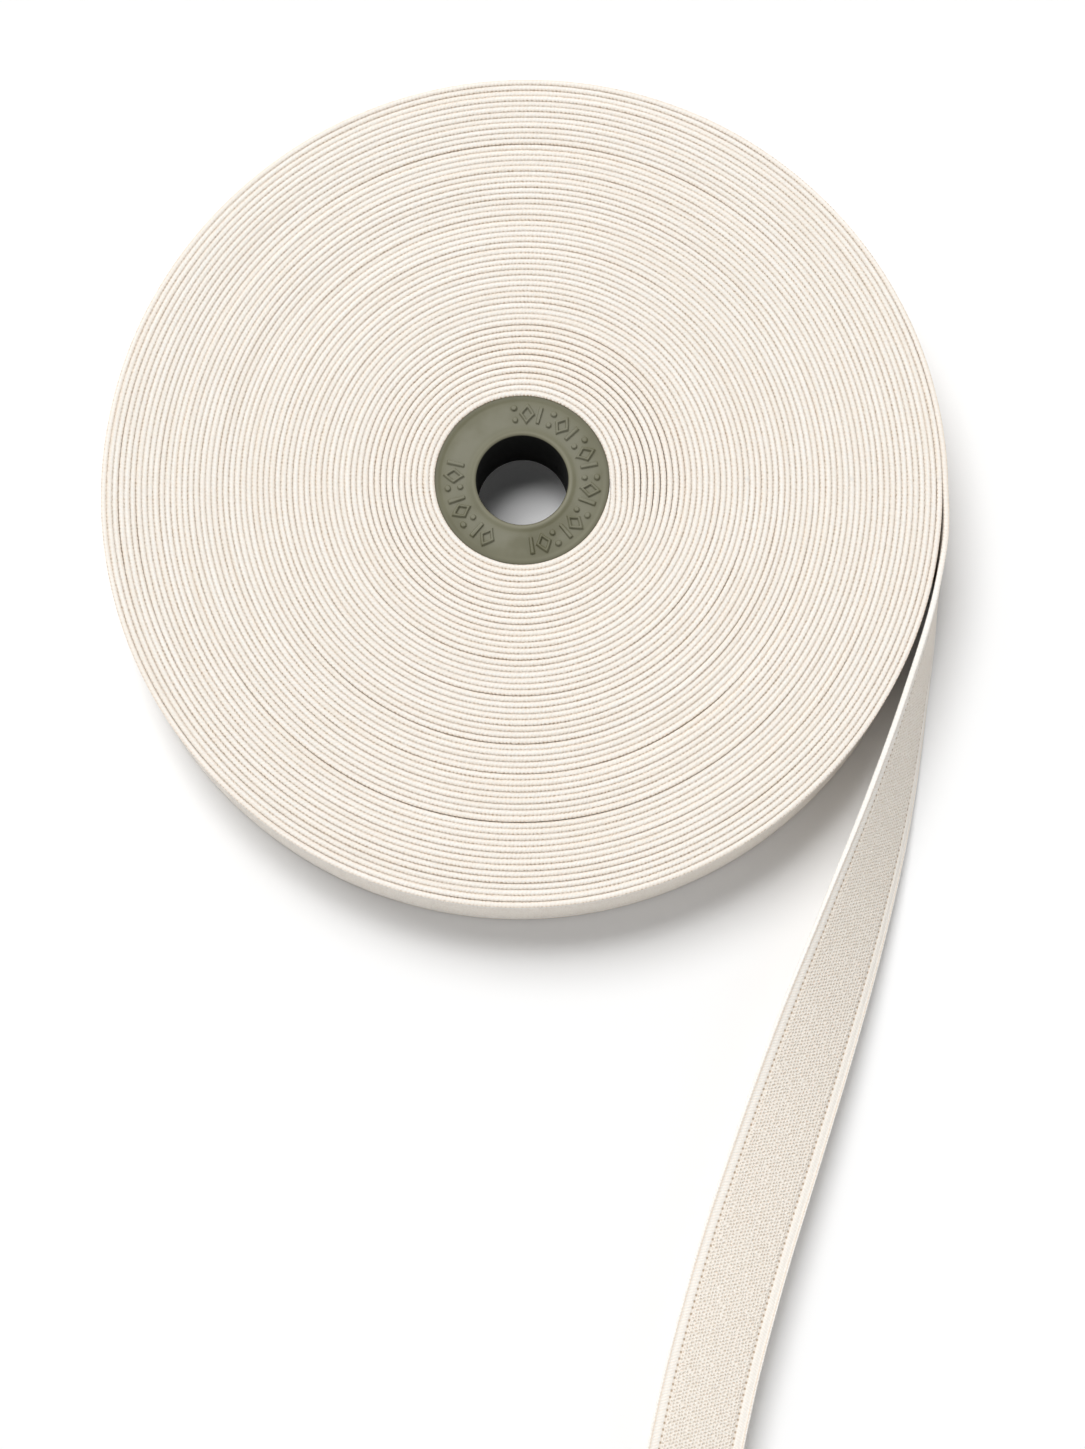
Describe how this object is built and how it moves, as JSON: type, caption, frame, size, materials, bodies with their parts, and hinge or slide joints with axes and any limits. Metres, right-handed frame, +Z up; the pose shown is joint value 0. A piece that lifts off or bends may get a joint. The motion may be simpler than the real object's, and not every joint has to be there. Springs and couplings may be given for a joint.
{
  "type": "roll of elastic tape",
  "caption": "Roll of flat woven elastic, wound flat on a round plastic core with a spindle bore, its loose end twisting out to lie flat.",
  "frame": {"origin": "on the surface that the roll lies on, at the middle of the part's bounding box", "axes": "+Z up along the roll's axis; +Y from the loose end towards the roll; +X to the side where the loose end leaves"},
  "size_m": [0.2324, 0.4472, 0.0254],
  "materials": {
    "elastic": "matt cream woven elastic with stitched lines along both edges",
    "core": "satin grey-green moulded plastic"
  },
  "bodies": {
    "root": {"core": "core", "elastic_roll": "elastic", "loose_end": "elastic"}
  },
  "joints": []
}
